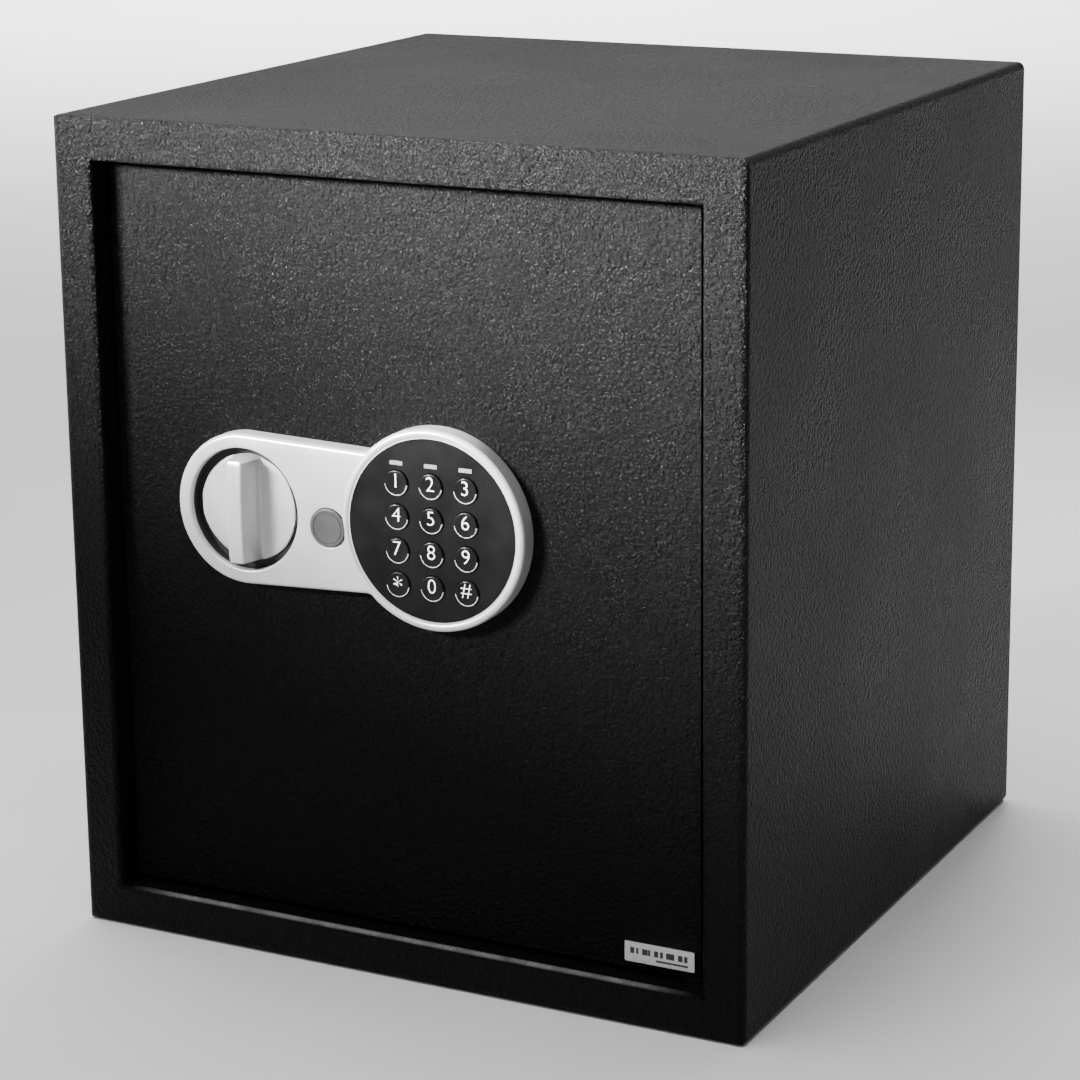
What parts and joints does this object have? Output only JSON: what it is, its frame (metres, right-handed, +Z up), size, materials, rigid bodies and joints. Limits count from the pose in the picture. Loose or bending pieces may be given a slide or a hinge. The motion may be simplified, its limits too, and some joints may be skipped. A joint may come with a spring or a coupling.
{
  "type": "electronic safe",
  "caption": "Box-shaped steel safe with a recessed hinged door, a knob-driven bolt work, a round keypad with an override key lock, a shelf and anchor holes.",
  "frame": {"origin": "middle of the safe's footprint, knob included, on the surface that it stands on", "axes": "+Z up; the door faces -Y; +X to the right as seen from the front, where the hinges are"},
  "size_m": [0.38, 0.385, 0.43],
  "materials": {
    "powder_coat": "black textured powder coat, satin",
    "felt": "needle-punched felt",
    "silver_paint": "silver painted plastic, satin",
    "knob_paint": "silver painted plastic, satin",
    "badge": "brushed foil",
    "cap_plastic": "grey moulded plastic",
    "face_plastic": "fine-grained black plastic",
    "key_rubber": "satin black rubber with white figures",
    "membrane_rubber": "matt",
    "lens": "translucent",
    "board": "solder-masked board",
    "cable": "grey ribbon",
    "inner_plastic": "fine-grained black plastic",
    "zinc": "zinc-plated",
    "steel": "turned",
    "brass": "turned",
    "coil_tape": "wound and taped",
    "cell_sleeve": "printed sleeve",
    "red_plastic": "moulded"
  },
  "bodies": {
    "body": {"front_frame": "powder_coat", "body_wrap": "powder_coat", "back_panel": "powder_coat", "shelf_supports": "powder_coat", "floor_mat": "felt", "hinge_bushes": "inner_plastic"},
    "door": {"door_plate": "powder_coat", "door_channel": "powder_coat", "inner_cover": "powder_coat", "cover_screws": "zinc", "hinge_brackets": "powder_coat", "hinge_pins": "steel", "badge_plate": "badge", "panel_housing": "silver_paint", "panel_screws": "zinc", "keypad_faceplate": "face_plastic", "keypad_membrane": "membrane_rubber", "keypad_board": "board", "indicator_lenses": "lens", "keypad_cable": "cable", "control_board": "board", "battery_box": "inner_plastic", "battery_contacts": "zinc", "batteries": "cell_sleeve", "carrier_guide_posts": "steel", "solenoid_frame": "zinc", "solenoid_coil": "coil_tape", "plunger_spring": "steel", "lock_barrel": "steel", "lock_nut": "zinc", "knob_bush": "brass"},
    "shelf": {"shelf": "powder_coat"},
    "knob": {"knob": "knob_paint", "knob_shaft": "steel", "drive_cam": "zinc", "cam_screw": "zinc"},
    "bolt_work": {"bolt_carrier": "zinc", "bolt_upper": "steel", "bolt_lower": "steel", "bolt_nuts": "zinc"},
    "solenoid_plunger": {"solenoid_plunger": "steel"},
    "override_plug": {"lock_plug": "brass", "lock_cam": "zinc"},
    "keyhole_cap": {"keyhole_cap": "cap_plastic"},
    "battery_cover": {"battery_cover": "inner_plastic"},
    "reset_button": {"reset_button": "red_plastic"},
    "key_1": {"key_1": "key_rubber"},
    "key_2": {"key_2": "key_rubber"},
    "key_3": {"key_3": "key_rubber"},
    "key_4": {"key_4": "key_rubber"},
    "key_5": {"key_5": "key_rubber"},
    "key_6": {"key_6": "key_rubber"},
    "key_7": {"key_7": "key_rubber"},
    "key_8": {"key_8": "key_rubber"},
    "key_9": {"key_9": "key_rubber"},
    "key_star": {"key_star": "key_rubber"},
    "key_0": {"key_0": "key_rubber"},
    "key_hash": {"key_hash": "key_rubber"}
  },
  "joints": [
    {"name": "door_hinge", "type": "hinge", "parent": "body", "child": "door", "pos_m": [0.157, -0.1655, 0.215], "axis": [0, 0, 1], "range_deg": [0, 90]},
    {"name": "shelf_lift", "type": "slide", "parent": "body", "child": "shelf", "axis": [0, 0, 1], "range_m": [0, 0.12]},
    {"name": "knob_turn", "type": "hinge", "parent": "door", "child": "knob", "pos_m": [-0.086, -0.1775, 0.236], "axis": [0, -1, 0], "range_deg": [0, 90]},
    {"name": "bolt_slide", "type": "slide", "parent": "door", "child": "bolt_work", "axis": [-1, 0, 0], "range_m": [0, 0.0198]},
    {"name": "plunger_slide", "type": "slide", "parent": "door", "child": "solenoid_plunger", "axis": [0, 0, 1], "range_m": [0, 0.006], "deforming": ["plunger_spring"]},
    {"name": "override_turn", "type": "hinge", "parent": "door", "child": "override_plug", "pos_m": [-0.0367, -0.1675, 0.232], "axis": [0, 1, 0], "range_deg": [0, 90]},
    {"name": "cap_pull", "type": "slide", "parent": "door", "child": "keyhole_cap", "axis": [0, -1, 0], "range_m": [0, 0.02]},
    {"name": "battery_cover_pull", "type": "slide", "parent": "door", "child": "battery_cover", "axis": [0, 1, 0], "range_m": [0, 0.02]},
    {"name": "reset_press", "type": "slide", "parent": "door", "child": "reset_button", "axis": [0, -1, 0], "range_m": [0, 0.0015], "stiffness_N_per_m": 600},
    {"name": "key_1_press", "type": "slide", "parent": "door", "child": "key_1", "axis": [0, 1, 0], "range_m": [0, 0.0012], "stiffness_N_per_m": 800},
    {"name": "key_2_press", "type": "slide", "parent": "door", "child": "key_2", "axis": [0, 1, 0], "range_m": [0, 0.0012], "stiffness_N_per_m": 800},
    {"name": "key_3_press", "type": "slide", "parent": "door", "child": "key_3", "axis": [0, 1, 0], "range_m": [0, 0.0012], "stiffness_N_per_m": 800},
    {"name": "key_4_press", "type": "slide", "parent": "door", "child": "key_4", "axis": [0, 1, 0], "range_m": [0, 0.0012], "stiffness_N_per_m": 800},
    {"name": "key_5_press", "type": "slide", "parent": "door", "child": "key_5", "axis": [0, 1, 0], "range_m": [0, 0.0012], "stiffness_N_per_m": 800},
    {"name": "key_6_press", "type": "slide", "parent": "door", "child": "key_6", "axis": [0, 1, 0], "range_m": [0, 0.0012], "stiffness_N_per_m": 800},
    {"name": "key_7_press", "type": "slide", "parent": "door", "child": "key_7", "axis": [0, 1, 0], "range_m": [0, 0.0012], "stiffness_N_per_m": 800},
    {"name": "key_8_press", "type": "slide", "parent": "door", "child": "key_8", "axis": [0, 1, 0], "range_m": [0, 0.0012], "stiffness_N_per_m": 800},
    {"name": "key_9_press", "type": "slide", "parent": "door", "child": "key_9", "axis": [0, 1, 0], "range_m": [0, 0.0012], "stiffness_N_per_m": 800},
    {"name": "key_star_press", "type": "slide", "parent": "door", "child": "key_star", "axis": [0, 1, 0], "range_m": [0, 0.0012], "stiffness_N_per_m": 800},
    {"name": "key_0_press", "type": "slide", "parent": "door", "child": "key_0", "axis": [0, 1, 0], "range_m": [0, 0.0012], "stiffness_N_per_m": 800},
    {"name": "key_hash_press", "type": "slide", "parent": "door", "child": "key_hash", "axis": [0, 1, 0], "range_m": [0, 0.0012], "stiffness_N_per_m": 800}
  ],
  "couplings": [
    {"joint": "knob_turn", "follows": "bolt_slide", "rad_per_m": 79.333}
  ]
}
